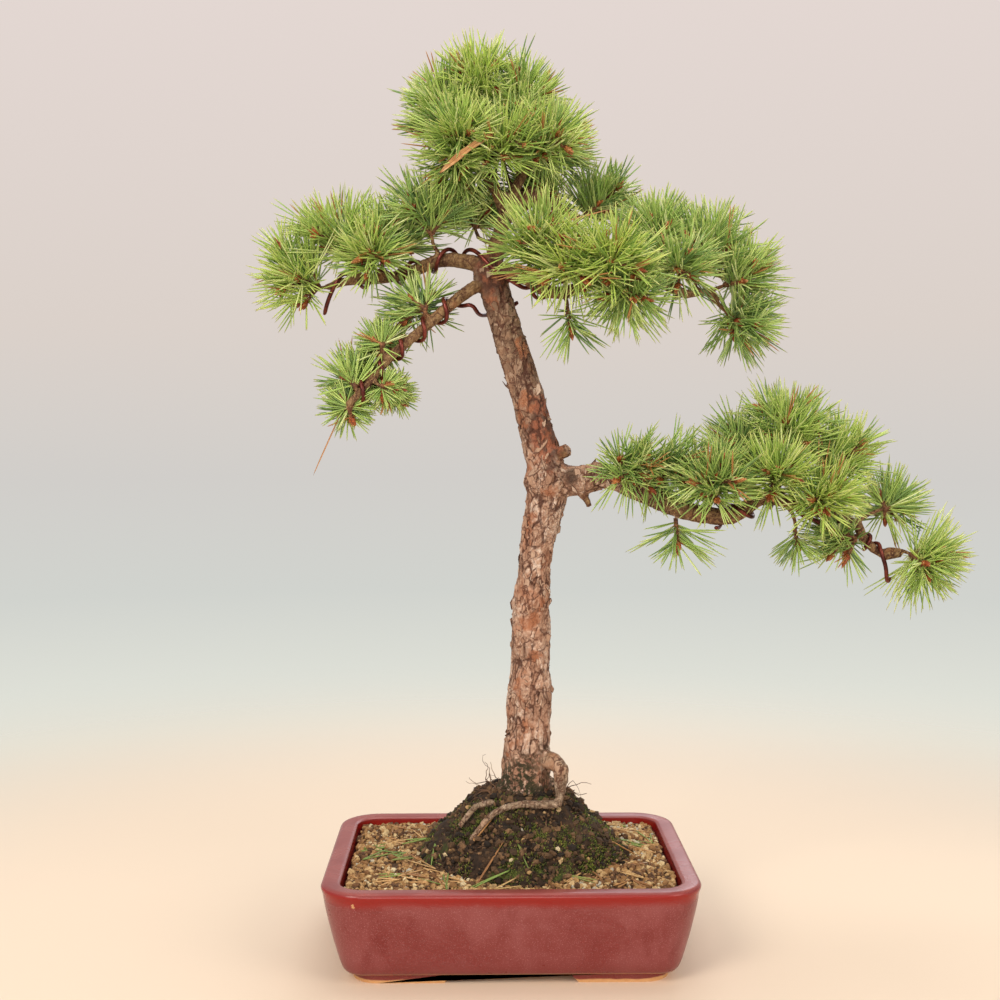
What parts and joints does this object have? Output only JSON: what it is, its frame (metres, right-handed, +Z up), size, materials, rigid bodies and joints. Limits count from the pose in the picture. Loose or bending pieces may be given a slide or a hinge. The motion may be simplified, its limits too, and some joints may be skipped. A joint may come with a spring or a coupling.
{
  "type": "bonsai tree in a pot",
  "caption": "Leaning wired pine bonsai with needle tufts and flaky bark, standing on a mossy root mound in a rectangular glazed pot on corner feet.",
  "frame": {"origin": "middle of the whole object's bounding box, on the surface that the pot's feet stand on", "axes": "+Z up, +X to the viewer's right along the pot's long side and towards the long low bough, -Y towards the viewer"},
  "size_m": [0.5142, 0.2, 0.6547],
  "materials": {
    "glazed_stoneware": "glossy oxblood glaze, bare tan clay at the feet",
    "mesh_plastic": "matte",
    "clip_wire": "satin",
    "grit": "matte, granular",
    "mossy_soil": "matte, moss over dark soil",
    "pine_bark": "matte, flaky plates",
    "training_wire": "satin, copper-brown anodised",
    "dry_leaf": "matte",
    "pine_needles": "waxy, semi-matte"
  },
  "bodies": {
    "root": {"pot": "glazed_stoneware", "drainage_mesh_left": "mesh_plastic", "mesh_clip_left": "clip_wire", "drainage_mesh_right": "mesh_plastic", "mesh_clip_right": "clip_wire", "soil": "grit", "root_mound": "mossy_soil", "tree": "pine_bark", "wire_upper": "training_wire", "wire_left_lower": "training_wire", "wire_bough": "training_wire", "dead_leaf": "dry_leaf", "tuft_crown_top": "pine_needles", "tuft_crown_top_left": "pine_needles", "tuft_crown_top_right": "pine_needles", "tuft_crown_right": "pine_needles", "tuft_crown_left": "pine_needles", "tuft_crown_low_left": "pine_needles", "tuft_crown_front_left": "pine_needles", "tuft_crown_front": "pine_needles", "tuft_crown_front_right": "pine_needles", "tuft_crown_back": "pine_needles", "tuft_crown_back_right": "pine_needles", "tuft_shoulder_left": "pine_needles", "tuft_shoulder_back": "pine_needles", "tuft_left_tip": "pine_needles", "tuft_left_high": "pine_needles", "tuft_left_front": "pine_needles", "tuft_left_back": "pine_needles", "tuft_left_low_mid": "pine_needles", "tuft_left_low_outer": "pine_needles", "tuft_left_low_tip": "pine_needles", "tuft_left_low_drop": "pine_needles", "tuft_left_low_inner": "pine_needles", "tuft_back_high": "pine_needles", "tuft_back_outer": "pine_needles", "tuft_front_inner": "pine_needles", "tuft_front_mid": "pine_needles", "tuft_front_outer": "pine_needles", "tuft_front_low": "pine_needles", "tuft_front_drop": "pine_needles", "tuft_far_face": "pine_needles", "tuft_far_inner": "pine_needles", "tuft_far_high": "pine_needles", "tuft_far_outer": "pine_needles", "tuft_far_drop": "pine_needles", "tuft_bough_first": "pine_needles", "tuft_bough_second": "pine_needles", "tuft_bough_third": "pine_needles", "tuft_bough_face": "pine_needles", "tuft_bough_drop": "pine_needles", "tuft_bough_back": "pine_needles", "tuft_bough_crest": "pine_needles", "tuft_bough_front": "pine_needles", "tuft_bough_outer": "pine_needles", "tuft_bough_bright": "pine_needles", "tuft_bough_hanging": "pine_needles", "tuft_bough_under": "pine_needles", "tuft_bough_late": "pine_needles", "tuft_bough_tip": "pine_needles"}
  },
  "joints": []
}
